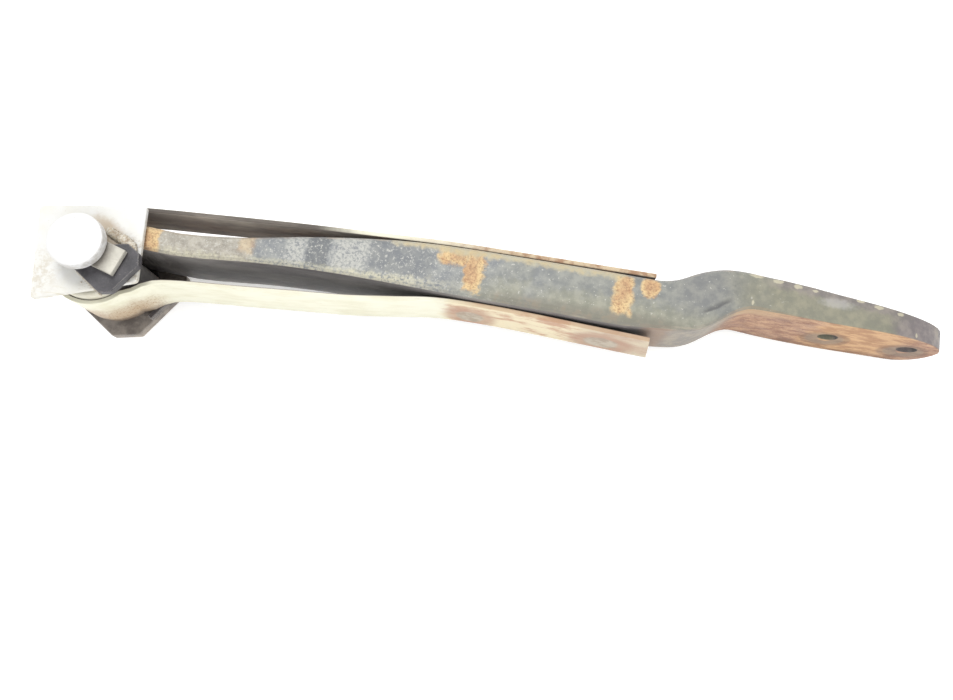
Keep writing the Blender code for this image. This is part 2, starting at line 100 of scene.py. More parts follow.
class Shade:
    """A material's nodes, made one call at a time. x, y and z are mm from the pivot's axis and the
    leaf's lower edge, nx, ny and nz the surface's direction, all fixed to the piece."""

    def __init__(self, name, metallic=0.0):
        self.material = bpy.data.materials.new(name)
        self.material.use_nodes = True
        self.tree = self.material.node_tree
        self.tree.nodes.clear()
        self.bsdf = self.node("ShaderNodeBsdfPrincipled")
        self.bsdf.inputs["Metallic"].default_value = metallic
        output = self.node("ShaderNodeOutputMaterial")
        self.tree.links.new(self.bsdf.outputs[0], output.inputs[0])
        coordinates = self.node("ShaderNodeTexCoord")
        scaled = self.node("ShaderNodeVectorMath", operation="MULTIPLY_ADD")
        self.tree.links.new(coordinates.outputs["Object"], scaled.inputs[0])
        scaled.inputs[1].default_value = (1.0 / MM, 1.0 / MM, 1.0 / MM)
        scaled.inputs[2].default_value = (-PIVOT.x / MM, -PIVOT.y / MM, -LEAF_LOW_Z / MM)
        self.place = scaled.outputs[0]
        self.x, self.y, self.z = self.split(self.place)
        self.nx, self.ny, self.nz = self.split(coordinates.outputs["Normal"])

    def node(self, kind, **settings):
        made = self.tree.nodes.new(kind)
        for key, value in settings.items():
            setattr(made, key, value)
        return made

    def feed(self, socket, value):
        if isinstance(value, bpy.types.NodeSocket):
            self.tree.links.new(value, socket)
        else:
            socket.default_value = value

    def split(self, vector):
        parts = self.node("ShaderNodeSeparateXYZ")
        self.feed(parts.inputs[0], vector)
        return parts.outputs[0], parts.outputs[1], parts.outputs[2]

    def math(self, operation, first, second=0.0):
        made = self.node("ShaderNodeMath", operation=operation)
        self.feed(made.inputs[0], first)
        self.feed(made.inputs[1], second)
        return made.outputs[0]

    def times(self, *factors):
        product = factors[0]
        for factor in factors[1:]:
            product = self.math("MULTIPLY", product, factor)
        return product

    def union(self, *masks):
        widest = masks[0]
        for mask in masks[1:]:
            widest = self.math("MAXIMUM", widest, mask)
        return widest

    def step(self, value, start, end):
        """0 before start, 1 after end, smooth between; start may be the higher one."""
        made = self.node("ShaderNodeMapRange", interpolation_type="SMOOTHSTEP")
        low, high = min(start, end), max(start, end)
        self.feed(made.inputs["Value"], value)
        made.inputs["From Min"].default_value = low
        made.inputs["From Max"].default_value = high
        made.inputs["To Min"].default_value = 0.0 if start < end else 1.0
        made.inputs["To Max"].default_value = 1.0 if start < end else 0.0
        return made.outputs["Result"]

    def noise(self, size, detail=3.0, roughness=0.55, stretch=(1.0, 1.0, 1.0), seed=0.0):
        """Noise with features about size mm across, longer along the axes stretch is above 1 on."""
        mapping = self.node("ShaderNodeMapping")
        self.feed(mapping.inputs["Vector"], self.place)
        mapping.inputs["Location"].default_value = (seed, 1.7 * seed, -0.6 * seed)
        mapping.inputs["Scale"].default_value = [1.0 / (size * s) for s in stretch]
        made = self.node("ShaderNodeTexNoise")
        self.feed(made.inputs["Vector"], mapping.outputs[0])
        made.inputs["Scale"].default_value = 1.0
        made.inputs["Detail"].default_value = detail
        made.inputs["Roughness"].default_value = roughness
        return made.outputs[0]

    def shifted(self, value, noise, amount):
        """The coordinate with noise added, so that an edge drawn from it is ragged."""
        return self.math("ADD", value, self.times(self.math("SUBTRACT", noise, 0.5), amount))

    def patch(self, x_span, y_span, soft=3.0, ragged=None, amount=8.0):
        """A four-sided patch between the spans, with ragged edges where noise is given."""
        x, y = self.x, self.y
        if ragged is not None:
            x = self.shifted(x, ragged, amount)
            y = self.shifted(y, ragged, -amount)
        sides = [self.step(x, x_span[0] - soft, x_span[0] + soft),
                 self.step(x, x_span[1] + soft, x_span[1] - soft),
                 self.step(y, y_span[0] - soft, y_span[0] + soft),
                 self.step(y, y_span[1] + soft, y_span[1] - soft)]
        return self.times(*sides)

    def distance(self, first, second):
        """How far the point with these two coordinates is from their zero."""
        return self.math("SQRT", self.math("ADD", self.times(first, first), self.times(second, second)))

    def layers(self, *weighted):
        """The sum of (value, weight) pairs."""
        total = self.times(*weighted[0])
        for value, weight in weighted[1:]:
            total = self.math("ADD", total, self.times(value, weight))
        return total

    def spot(self, centre, radii, soft=0.35, ragged=None, amount=0.6):
        """An oval patch on x and y round centre."""
        dx = self.math("DIVIDE", self.math("SUBTRACT", self.x, centre[0]), radii[0])
        dy = self.math("DIVIDE", self.math("SUBTRACT", self.y, centre[1]), radii[1])
        reach = self.distance(dx, dy)
        if ragged is not None:
            reach = self.shifted(reach, ragged, amount)
        return self.step(reach, 1.0 + soft, 1.0 - soft)

    def mix(self, mask, below, above):
        made = self.node("ShaderNodeMix", data_type="RGBA")
        self.feed(made.inputs["Factor"], mask)
        self.feed(made.inputs[6], below)
        self.feed(made.inputs[7], above)
        return made.outputs[2]

    def worn_edge(self, radius, start, end):
        """1 along the piece's edges, from how far a bevelled normal leans from the true one."""
        bevel = self.node("ShaderNodeBevel", samples=8)
        bevel.inputs["Radius"].default_value = radius * MM
        geometry = self.node("ShaderNodeNewGeometry")
        dot = self.node("ShaderNodeVectorMath", operation="DOT_PRODUCT")
        self.feed(dot.inputs[0], bevel.outputs[0])
        self.feed(dot.inputs[1], geometry.outputs["Normal"])
        return self.step(dot.outputs["Value"], start, end)

    def finish(self, colour, roughness, height, bump=0.5):
        """height is in mm, so that bump is the strength of a real depth."""
        self.feed(self.bsdf.inputs["Base Color"], colour)
        self.feed(self.bsdf.inputs["Roughness"], roughness)
        made = self.node("ShaderNodeBump")
        made.inputs["Strength"].default_value = bump
        made.inputs["Distance"].default_value = MM
        self.feed(made.inputs["Height"], height)
        self.tree.links.new(made.outputs[0], self.bsdf.inputs["Normal"])
        return self.material


def rust_colour(s, seed=0.0, light=(236, 196, 142), dark=(168, 122, 92)):
    """Rust: orange blooms on brown, with fine dark grain."""
    broad = s.step(s.noise(14.0, 4.0, 0.65, seed=seed + 3.0), 0.36, 0.62)
    fine = s.step(s.noise(2.2, 3.0, 0.7, seed=seed + 5.0), 0.46, 0.66)
    colour = s.mix(broad, tone(*dark), tone(*light))
    return s.mix(s.times(fine, 0.6), colour, tone(140, 96, 72))


def leaf_paint(s, ragged, small):
    """The flat edge faces' paint: warm grey near the eye, blue-grey on the seat, olive on the tail."""
    broad = s.step(s.noise(60.0, 3.0, 0.5, seed=2.0), 0.35, 0.65)
    warm = s.mix(small, tone(160, 153, 140), tone(196, 189, 174))
    blue = s.mix(small, tone(134, 138, 142), tone(166, 168, 164))
    olive = s.mix(small, tone(154, 154, 134), tone(178, 176, 156))
    far = s.step(s.shifted(s.x, ragged, 24.0), 162.0, 172.0)
    paint = s.mix(far, warm, blue)
    dull = s.times(s.step(s.shifted(s.x, broad, 70.0), 400.0, 470.0), 0.85)
    low_side = s.step(s.shifted(s.y, ragged, 30.0), 62.0, 34.0)
    paint = s.mix(s.times(dull, s.union(low_side, 0.35)), paint, olive)

    tail_paint = s.mix(small, tone(146, 145, 128), tone(168, 164, 142))
    tip = s.step(s.shifted(s.x, s.noise(28.0, 4.0, 0.6, seed=4.0), 110.0), 810.0, 870.0)
    back_line = s.shifted(s.math("ADD", s.y, s.times(s.x, 0.09)), ragged, 14.0)
    back_band = s.times(s.step(back_line, 145.0, 153.0), s.step(s.x, 690.0, 730.0))
    violet = s.union(tip, s.times(back_band, 0.75))
    tail_paint = s.mix(violet, tail_paint, s.mix(small, tone(134, 126, 127), tone(162, 152, 148)))
    tail = s.step(s.shifted(s.x, broad, 40.0), 640.0, 730.0)
    paint = s.mix(tail, paint, tail_paint)

    bend = s.times(s.patch((612.0, 672.0), (44.0, 110.0), 22.0, ragged, 20.0), 0.8)
    paint = s.mix(bend, paint, s.mix(small, tone(136, 137, 137), tone(158, 158, 152)))
    dark_zone = s.patch((289.0, 356.0), (34.0, 80.0), 5.0, ragged, 26.0)
    darker = s.patch((224.0, 247.0), (29.0, 68.0), 2.0, ragged, 12.0)
    return s.mix(s.union(s.times(dark_zone, 0.35), s.times(darker, 0.75)), paint, tone(100, 104, 108))


def leaf_speckle(s, paint, ragged):
    """Whitish speckle and crust: dense near the eye, thin on the tail."""
    pale_bands = s.union(s.patch((202.0, 221.0), (0.0, 80.0), 3.0, ragged, 14.0),
                         s.patch((251.0, 288.0), (0.0, 80.0), 5.0, ragged, 22.0),
                         s.times(s.patch((66.0, 160.0), (0.0, 80.0), 5.0, ragged, 22.0), 0.35))
    density = s.step(s.x, 520.0, 300.0)
    near = s.step(s.noise(3.2, 4.0, 0.75, seed=21.0), 0.53, 0.66)
    far = s.step(s.noise(3.2, 2.0, 0.6, seed=31.0), 0.66, 0.74)
    crust = s.step(s.noise(3.4, 4.0, 0.75, seed=25.0), 0.42, 0.56)
    speckle = s.union(s.times(near, density, 0.7), s.times(far, 0.7), s.times(crust, pale_bands, 0.55))
    return s.mix(s.times(speckle, s.step(s.x, 800.0, 620.0)), paint, tone(229, 227, 216))


def leaf_scars(s, paint, pits, ragged, small):
    """The cream lower edge near the eye, pits, chips, a smear and the dirt along the seat."""
    slanted = s.math("SUBTRACT", s.y, s.times(s.x, 0.045))
    cream_edge = s.times(s.step(s.shifted(slanted, ragged, 16.0), 22.0, 13.0),
                         s.step(s.x, 420.0, 300.0), s.step(s.x, 60.0, 80.0))
    grain = s.step(s.noise(3.0, 3.0, 0.7, seed=41.0), 0.36, 0.56)
    paint = s.mix(s.times(cream_edge, grain, 0.85), paint, tone(233, 227, 197))
    paint = s.mix(s.times(pits, s.union(cream_edge, 0.25)), paint, tone(104, 104, 92))
    chip_edge = s.noise(4.0, 3.0, 0.6, seed=61.0)
    chips = s.union(*[s.spot(centre, radii, 0.25, chip_edge, 1.3) for centre, radii in TAIL_CHIPS])
    paint = s.mix(s.times(chips, 0.7), paint, tone(230, 222, 192))
    smear = s.spot((779.0, 77.0), (16.0, 5.0), 0.5, chip_edge, 1.2)
    paint = s.mix(s.times(smear, 0.5), paint, tone(206, 203, 200))
    low_line = s.times(s.step(s.shifted(s.y, ragged, 16.0), 36.0, 26.0),
                       s.step(s.x, 400.0, 450.0), s.step(s.x, 640.0, 600.0))
    paint = s.mix(s.times(low_line, 0.5), paint, tone(132, 126, 112))
    dirty = s.times(s.patch((425.0, 602.0), (10.0, 30.0), 5.0, ragged, 18.0), s.step(small, 0.3, 0.8))
    return s.mix(s.times(dirty, 0.7), paint, tone(156, 144, 124))


def bloom_masks(s, edge):
    """Where rust shows on the upper face, and the brown middles of the blooms."""
    blooms = s.union(
        s.patch((363.0, 393.0), (54.0, 74.0), 3.0, edge, 17.0),
        s.patch((391.0, 410.0), (27.0, 72.0), 3.0, edge, 18.0),
        s.patch((548.0, 568.0), (30.0, 70.0), 3.0, edge, 14.0),
        s.spot((585.0, 62.0), (11.0, 11.0), 0.2, edge, 1.4),
        s.patch((48.0, 68.0), (0.0, 60.0), 2.0, edge, 14.0),
        s.times(s.patch((152.0, 168.0), (30.0, 60.0), 3.0, edge, 14.0), 0.4))
    middles = s.union(
        s.patch((375.0, 390.0), (58.0, 69.0), 3.0, edge, 6.0),
        s.times(s.patch((394.0, 404.0), (36.0, 66.0), 3.0, edge, 9.0), 0.75),
        s.times(s.patch((552.0, 564.0), (42.0, 66.0), 4.0, edge, 9.0), 0.7),
        s.times(s.spot((585.0, 61.0), (6.0, 6.0), 0.4, edge, 0.9), 0.6))
    return blooms, middles


def pad_rust_and_low_shade(s):
    """The air spring pad's brown rust: streaks, a pale rim, an orange glow and a ring at each hole, with
    painted shade towards its lower edge.
    """
    streak = s.noise(9.0, 5.0, 0.7, (2.6, 1.0, 1.0), 81.0)
    brown = s.mix(s.step(streak, 0.36, 0.62), tone(172, 130, 108), tone(226, 184, 150))
    plum = s.step(s.noise(26.0, 4.0, 0.65, (1.6, 1.0, 1.0), 85.0), 0.46, 0.62)
    brown = s.mix(s.times(plum, 0.45), brown, tone(176, 144, 132))
    fine_rust = s.step(s.noise(2.0, 4.0, 0.75, seed=87.0), 0.5, 0.64)
    brown = s.mix(s.times(fine_rust, 0.45), brown, tone(136, 98, 78))
    pale_rim = s.times(s.step(s.shifted(s.z, streak, 12.0), 76.0, 86.0), s.step(s.x, 760.0, 690.0))
    brown = s.mix(s.times(pale_rim, 0.7), brown, tone(226, 194, 154))
    glow = s.patch((770.0, 862.0), (-90.0, 190.0), 14.0, s.noise(18.0, 3.0, 0.6, seed=93.0), 50.0)
    orange = s.mix(s.step(streak, 0.4, 0.6), tone(206, 158, 114), tone(244, 198, 146))
    brown = s.mix(s.times(glow, 0.75), brown, orange)
    # painted shade: the pad darker towards its lower edge
    low_shade = s.step(s.shifted(s.z, streak, 26.0), 24.0, -6.0)
    brown = s.mix(s.times(low_shade, 0.6), brown, tone(122, 92, 76))
    for hole_x in TAIL_HOLES_X:
        reach = s.distance(s.math("SUBTRACT", s.x, hole_x), s.math("SUBTRACT", s.z, TAIL_HOLES_Z))
        reach = s.shifted(reach, s.noise(6.0, 3.0, 0.6, seed=95.0), 5.0)
        ring = s.times(s.step(reach, 23.0, 18.0), s.step(reach, 5.0, 8.0))
        brown = s.mix(s.times(ring, 0.75), brown, s.mix(streak, tone(136, 118, 102), tone(166, 152, 136)))
        stain_and_head_shadow = s.times(s.step(reach, 28.0, 24.0), s.step(reach, 19.0, 22.0))
        brown = s.mix(s.times(stain_and_head_shadow, 0.4), brown, tone(116, 96, 84))
    return brown


def leaf_sides(s, front, pad, ragged, small):
    """The leaf's broad sides: near black, rusty behind, with the pad's rust and painted shade where pad is 1.
    """
    dirt = s.step(s.noise(26.0, 4.0, 0.6, (3.0, 1.0, 1.0), 83.0), 0.35, 0.7)
    side = s.mix(dirt, tone(122, 118, 118), tone(164, 159, 155))
    back_rust = s.times(s.step(s.ny, 0.2, 0.6), s.step(s.noise(22.0, 5.0, 0.65, seed=91.0), 0.5, 0.6))
    side = s.mix(s.times(back_rust, 0.8), side, rust_colour(s, 7.0, (206, 156, 112), (150, 104, 78)))
    bend_front = s.times(front, s.step(s.x, 575.0, 625.0))
    side = s.mix(bend_front, side, s.mix(small, tone(150, 145, 137), tone(184, 172, 152)))
    seat_rust = s.times(front, s.patch((585.0, 612.0), (-200.0, 200.0), 8.0, ragged, 12.0))
    side = s.mix(s.times(seat_rust, 0.6), side, tone(178, 140, 108))
    return s.mix(pad, side, pad_rust_and_low_shade(s))


def fold_mask(s):
    """The crease across the S-bend's upper face, darkened with painted shade and sunk as a groove."""
    line = s.math("SUBTRACT", s.y, s.times(s.math("SUBTRACT", s.x, 640.0), 0.62))
    line = s.shifted(line, s.noise(16.0, 2.0, 0.5, seed=99.0), 7.0)
    across = s.times(s.step(line, 41.0, 43.0), s.step(line, 49.0, 43.5))
    return s.times(across, s.step(s.x, 640.0, 648.0), s.step(s.x, 676.0, 664.0))


def leaf_material():
    s = Shade("leaf_steel_worn")
    ragged = s.noise(9.0, 4.0, 0.7)
    small = s.step(s.noise(12.0, 4.0, 0.65, seed=9.0), 0.35, 0.68)
    lean = s.math("ABSOLUTE", s.nz)
    top = s.step(s.nz, 0.3, 0.7)
    front = s.step(s.times(s.ny, -1.0), 0.25, 0.7)
    pits = s.step(s.noise(5.0, 4.0, 0.75, seed=51.0), 0.64, 0.72)
    pad = s.times(front, s.step(s.shifted(s.x, ragged, 14.0), 655.0, 690.0))
    bloom_edge = s.noise(10.0, 4.0, 0.65, seed=71.0)
    blooms, middles = bloom_masks(s, bloom_edge)
    fold = s.times(fold_mask(s), top)

    paint = leaf_speckle(s, leaf_paint(s, ragged, small), ragged)
    paint = leaf_scars(s, paint, pits, ragged, small)
    paint = s.mix(s.times(blooms, top), paint, rust_colour(s, 1.0, (250, 220, 166), (226, 184, 138)))
    middle_grain = s.step(s.noise(2.6, 3.0, 0.7, seed=73.0), 0.4, 0.6)
    middle_brown = s.mix(middle_grain, tone(168, 130, 104), tone(226, 184, 142))
    paint = s.mix(s.times(middles, top, 0.7), paint, middle_brown)
    yellow = s.patch((310.0, 560.0), (66.5, 90.0), 3.0, bloom_edge, 16.0)
    paint = s.mix(s.times(yellow, top, 0.85), paint, s.mix(small, tone(222, 203, 158), tone(206, 199, 172)))

    sides = leaf_sides(s, front, pad, ragged, small)
    at_eye = s.times(s.step(s.shifted(s.x, ragged, 12.0), 34.0, 24.0), s.step(s.y, 14.0, 0.0))
    eye_paint = s.mix(small, tone(244, 238, 216), tone(252, 248, 230))
    colour = s.mix(at_eye, s.mix(s.step(lean, 0.45, 0.8), sides, paint), eye_paint)
    edge_wear = s.times(s.step(lean, 0.3, 0.55), s.step(lean, 0.95, 0.7))
    scuffs = s.step(s.noise(16.0, 5.0, 0.7, (4.0, 1.0, 1.0), 97.0), 0.5, 0.62)
    colour = s.mix(s.times(edge_wear, scuffs, 0.5), colour, tone(200, 188, 166))
    # painted shade along the S-bend's crease
    colour = s.mix(s.times(fold, 0.8), colour, tone(98, 98, 98))

    rusty = s.union(blooms, pad)
    height = s.layers((s.noise(1.6, 4.0, 0.7, seed=11.0), 0.35), (s.noise(14.0, 3.0, 0.6, seed=13.0), 0.9),
                      (s.times(rusty, s.noise(3.0, 4.0, 0.75, seed=15.0)), 0.9), (pits, -0.4), (fold, -0.8))
    return s.finish(colour, s.math("ADD", 0.52, s.times(rusty, 0.3)), height, 0.55)


def wrapper_material():
    s = Shade("strap_paint_worn")
    ragged = s.noise(16.0, 4.0, 0.65)
    small = s.step(s.noise(14.0, 4.0, 0.6, (3.0, 1.0, 1.0), 3.0), 0.4, 0.7)
    outside = s.step(s.times(s.ny, -1.0), -0.25, 0.1)
    cream = s.mix(small, tone(266, 264, 240), tone(252, 248, 218))
    # bare rusty part towards the free end, with two rubbed ovals
    rusty = s.step(s.shifted(s.x, ragged, 44.0), 366.0, 388.0)
    blotch = s.step(s.noise(20.0, 5.0, 0.7, (2.4, 1.0, 1.0), 7.0), 0.44, 0.6)
    pale = s.mix(blotch, tone(258, 244, 208), tone(218, 176, 146))
    grey_end = s.step(s.shifted(s.x, ragged, 50.0), 505.0, 535.0)
    pale = s.mix(s.times(grey_end, 0.6), pale, tone(214, 196, 174))
    colour = s.mix(rusty, cream, pale)
    for centre, reach in WRAPPER_OVALS:
        dx = s.math("DIVIDE", s.math("SUBTRACT", s.x, centre), reach)
        dz = s.math("DIVIDE", s.math("SUBTRACT", s.z, 45.0), 20.0)
        oval = s.shifted(s.distance(dx, dz), ragged, 0.5)
        colour = s.mix(s.times(s.step(oval, 2.2, 1.3), 0.7), colour, tone(196, 152, 128))
        colour = s.mix(s.times(s.step(oval, 1.1, 0.8), 0.75), colour,
                       s.mix(s.step(ragged, 0.4, 0.6), tone(178, 168, 150), tone(214, 208, 190)))
    # painted shade, brown, where the leaf wraps the eye and darker towards its bottom, with speckle
    wrap_painted_shade = s.times(s.step(s.x, 74.0, 40.0), s.step(s.shifted(s.z, ragged, 30.0), 78.0, 40.0))
    colour = s.mix(s.times(wrap_painted_shade, 0.85), colour, tone(206, 178, 142))
    speckle = s.times(s.step(s.x, 74.0, 50.0), s.step(s.noise(2.2, 3.0, 0.7, seed=9.0), 0.5, 0.62))
    speckle = s.times(speckle, s.step(s.shifted(s.z, ragged, 20.0), 70.0, 48.0))
    colour = s.mix(s.times(speckle, 0.7), colour, tone(170, 124, 84))
    # painted shade: near black under the wrap, towards the bottom
    under_painted_shade = s.times(s.step(s.x, 70.0, 40.0), s.step(s.shifted(s.z, ragged, 16.0), 34.0, 18.0))
    colour = s.mix(s.times(under_painted_shade, 0.9), colour, tone(92, 76, 64))
    flecks = s.step(s.noise(5.0, 3.0, 0.6, (4.0, 1.0, 1.0), 13.0), 0.68, 0.74)
    colour = s.mix(s.times(flecks, 0.35), colour, tone(214, 200, 160))
    inside = s.mix(small, tone(140, 130, 122), tone(172, 158, 144))
    colour = s.mix(outside, inside, colour)
    edge = s.times(s.step(s.nz, 0.4, 0.8), s.step(s.x, 380.0, 420.0))
    colour = s.mix(s.times(edge, 0.5), colour, tone(206, 160, 120))
    roughness = s.math("ADD", 0.45, s.times(rusty, 0.25))
    height = s.layers((s.noise(1.5, 4.0, 0.7, seed=11.0), 0.25),
                      (s.times(rusty, s.noise(4.0, 4.0, 0.7, seed=15.0)), 0.8))
    return s.finish(colour, roughness, height, 0.5)


def strap_material():
    s = Shade("strap_rust_worn")
    ragged = s.noise(18.0, 4.0, 0.65)
    small = s.step(s.noise(22.0, 4.0, 0.65, (4.0, 1.0, 1.0), 3.0), 0.38, 0.68)
    inner = s.mix(small, tone(176, 167, 158), tone(232, 220, 204))
    brown = s.step(s.noise(30.0, 4.0, 0.7, (3.0, 1.0, 1.0), 5.0), 0.5, 0.62)
    inner = s.mix(s.times(brown, 0.35), inner, tone(176, 150, 130))
    flecks = s.step(s.noise(3.4, 3.0, 0.7, seed=7.0), 0.66, 0.72)
    inner = s.mix(s.times(flecks, 0.5), inner, tone(210, 202, 188))
    edge_paint = s.mix(small, tone(268, 264, 240), tone(246, 232, 204))
    edge_rust = s.mix(s.step(ragged, 0.4, 0.6), tone(236, 214, 178), tone(190, 150, 116))
    edge = s.mix(s.step(s.shifted(s.x, ragged, 60.0), 330.0, 440.0), edge_paint, edge_rust)
    dark_edge = s.mix(small, tone(96, 88, 80), tone(138, 129, 118))
    edge = s.mix(s.step(s.shifted(s.x, ragged, 60.0), 300.0, 215.0), edge, dark_edge)
    colour = s.mix(s.step(s.math("ABSOLUTE", s.nz), 0.4, 0.8), inner, edge)
    back = s.mix(small, tone(238, 232, 208), tone(214, 190, 158))
    back = s.mix(s.step(s.noise(34.0, 5.0, 0.7, (2.0, 1.0, 1.0), 9.0), 0.5, 0.58), back,
                 rust_colour(s, 4.0, (204, 160, 118), (150, 106, 80)))
    colour = s.mix(s.step(s.ny, 0.3, 0.7), colour, back)
    height = s.layers((s.noise(1.8, 4.0, 0.7, seed=11.0), 0.3), (s.noise(9.0, 4.0, 0.7, seed=15.0), 0.7))
    return s.finish(colour, 0.66, height, 0.5)


def hanger_material():
    s = Shade("hanger_paint_worn")
    ragged = s.noise(7.0, 4.0, 0.7)
    wash = s.step(s.noise(34.0, 4.0, 0.6, seed=3.0), 0.35, 0.7)
    colour = s.mix(wash, tone(255, 255, 252), tone(252, 250, 240))
    face = s.step(s.nz, 0.4, 0.8)
    # dirt, weld burn and painted shadow round the pin's head, on one side; dirt and weld burn round the
    # keeper plate
    ring = s.times(s.spot((2.0, 4.0), (38.0, 38.0), 0.16, ragged, 0.35), face)
    side = s.step(s.math("ADD", s.x, s.times(s.y, 0.5)), 6.0, 30.0)
    colour = s.mix(s.times(ring, side, 0.85), colour, tone(206, 186, 160))
    near = s.times(s.patch((4.0, 64.0), (-46.0, 26.0), 6.0, ragged, 14.0), face)
    grime = s.step(s.noise(5.0, 4.0, 0.75, seed=5.0), 0.46, 0.62)
    colour = s.mix(s.times(near, grime, 0.7), colour, tone(206, 192, 172))
    # painted shade: a beige blotch in the cheek plate's front-left corner
    corner = s.spot((-44.0, -30.0), (22.0, 26.0), 0.5, ragged, 0.8)
    colour = s.mix(s.times(corner, s.step(ragged, 0.42, 0.6), 0.8), colour, tone(232, 224, 208))
    lines = s.step(s.noise(2.4, 2.0, 0.5, (18.0, 1.0, 1.0), 7.0), 0.56, 0.64)
    strip = s.patch((-50.0, 20.0), (-60.0, -42.0), 4.0, ragged, 6.0)
    colour = s.mix(s.times(lines, strip, 0.8), colour, tone(238, 230, 208))
    specks = s.step(s.noise(2.0, 2.0, 0.6, seed=11.0), 0.72, 0.76)
    colour = s.mix(s.times(specks, 0.7), colour, tone(190, 176, 150))
    sides = s.step(s.math("ABSOLUTE", s.nz), 0.7, 0.3)
    runs = s.step(s.noise(9.0, 4.0, 0.7, (1.0, 1.0, 3.0), 13.0), 0.45, 0.62)
    colour = s.mix(s.times(sides, runs, 0.5), colour, tone(212, 198, 170))
    below = s.step(s.times(s.nz, -1.0), 0.4, 0.8)
    colour = s.mix(s.times(below, s.step(ragged, 0.35, 0.6), 0.7), colour, tone(176, 148, 118))
    height = s.layers((s.noise(1.4, 4.0, 0.7, seed=15.0), 0.2), (s.noise(8.0, 3.0, 0.6, seed=17.0), 0.5))
    return s.finish(colour, s.math("ADD", 0.38, s.times(grime, 0.2)), height, 0.45)


def dark_material():
    s = Shade("dark_steel_worn")
    ragged = s.noise(8.0, 4.0, 0.7)
    broad = s.step(s.noise(20.0, 4.0, 0.65, seed=3.0), 0.36, 0.66)
    low = s.step(s.z, 20.0, -4.0)
    upper = s.mix(broad, tone(66, 64, 68), tone(94, 91, 96))
    lower = s.mix(broad, tone(142, 131, 122), tone(196, 184, 170))
    colour = s.mix(low, upper, lower)
    scratches = s.step(s.noise(2.0, 4.0, 0.75, (5.0, 1.0, 1.0), 7.0), 0.62, 0.7)
    colour = s.mix(s.times(scratches, 0.5), colour, tone(186, 178, 166))
    speck = s.step(s.noise(2.6, 3.0, 0.7, seed=9.0), 0.68, 0.74)
    colour = s.mix(s.times(speck, 0.7), colour, tone(206, 190, 168))
    wear = s.times(s.worn_edge(1.4, 0.995, 0.9), s.step(ragged, 0.36, 0.5))
    colour = s.mix(s.times(wear, 0.75), colour, tone(216, 210, 202))
    height = s.layers((s.noise(1.6, 4.0, 0.7, seed=15.0), 0.3), (s.noise(7.0, 4.0, 0.65, seed=17.0), 0.7))
    return s.finish(colour, s.math("ADD", 0.42, s.times(broad, 0.2)), height, 0.5)


def bare_material():
    s = Shade("bare_steel_worn", metallic=0.15)
    ragged = s.noise(6.0, 4.0, 0.7)
    broad = s.step(s.noise(18.0, 4.0, 0.6, seed=3.0), 0.36, 0.66)
    colour = s.mix(broad, tone(214, 210, 198), tone(234, 230, 216))
    # painted shadow of the pin's head: top faces darker near the pin's axis
    away = s.shifted(s.distance(s.x, s.y), ragged, 8.0)
    stain_and_head_shadow = s.times(s.step(away, 43.0, 28.0), s.step(s.nz, 0.4, 0.8))
    colour = s.mix(s.times(stain_and_head_shadow, 0.8), colour, tone(112, 104, 96))
    brushed = s.step(s.noise(1.4, 3.0, 0.6, (14.0, 1.0, 1.0), 7.0), 0.54, 0.66)
    colour = s.mix(s.times(brushed, 0.3), colour, tone(180, 174, 162))
    wear = s.times(s.worn_edge(1.2, 0.995, 0.9), s.step(ragged, 0.4, 0.55))
    colour = s.mix(s.times(wear, 0.5), colour, tone(150, 132, 112))
    height = s.layers((brushed, 0.15), (s.noise(5.0, 4.0, 0.65, seed=15.0), 0.5))
    return s.finish(colour, s.math("ADD", 0.34, s.times(ragged, 0.3)), height, 0.4)


def pin_material():
    s = Shade("pin_steel_worn")
    ragged = s.noise(5.0, 4.0, 0.7)
    wash = s.step(s.noise(20.0, 4.0, 0.6, seed=3.0), 0.4, 0.7)
    colour = s.mix(wash, tone(255, 255, 255), tone(253, 252, 249))
    dots = s.step(s.noise(2.6, 2.0, 0.6, seed=12.0), 0.71, 0.75)
    colour = s.mix(s.times(dots, 0.75), colour, tone(150, 144, 138))
    sides = s.step(s.math("ABSOLUTE", s.nz), 0.7, 0.3)
    colour = s.mix(s.times(sides, s.step(ragged, 0.35, 0.6), 0.6), colour, tone(206, 200, 190))
    shank = s.step(s.z, *SHANK_TOP)
    colour = s.mix(shank, colour, s.mix(wash, tone(150, 144, 136), tone(190, 184, 174)))
    height = s.layers((s.noise(1.2, 4.0, 0.7, seed=15.0), 0.12), (s.noise(9.0, 3.0, 0.6, seed=17.0), 0.4))
    return s.finish(colour, s.math("ADD", 0.3, s.times(ragged, 0.2)), height, 0.35)


def rubber_material():
    s = Shade("bush_rubber_worn")
    ragged = s.noise(6.0, 4.0, 0.7)
    dust = s.step(s.noise(10.0, 4.0, 0.7, seed=3.0), 0.45, 0.66)
    colour = s.mix(s.times(dust, 0.5), tone(44, 43, 44), tone(96, 90, 82))
    height = s.layers((s.noise(1.0, 4.0, 0.7, seed=15.0), 0.2), (ragged, 0.5))
    return s.finish(colour, s.math("ADD", 0.7, s.times(dust, 0.2)), height, 0.5)


def bead_material():
    s = Shade("weld_bead")
    ragged = s.noise(3.0, 4.0, 0.7)
    colour = s.mix(s.step(ragged, 0.4, 0.6), tone(236, 230, 216), tone(206, 190, 164))
    burnt = s.step(s.noise(9.0, 4.0, 0.7, seed=5.0), 0.5, 0.64)
    colour = s.mix(s.times(burnt, 0.6), colour, tone(150, 124, 98))
    height = s.times(s.noise(1.2, 4.0, 0.7, seed=15.0), 0.4)
    return s.finish(colour, s.math("ADD", 0.45, s.times(burnt, 0.25)), height, 0.5)


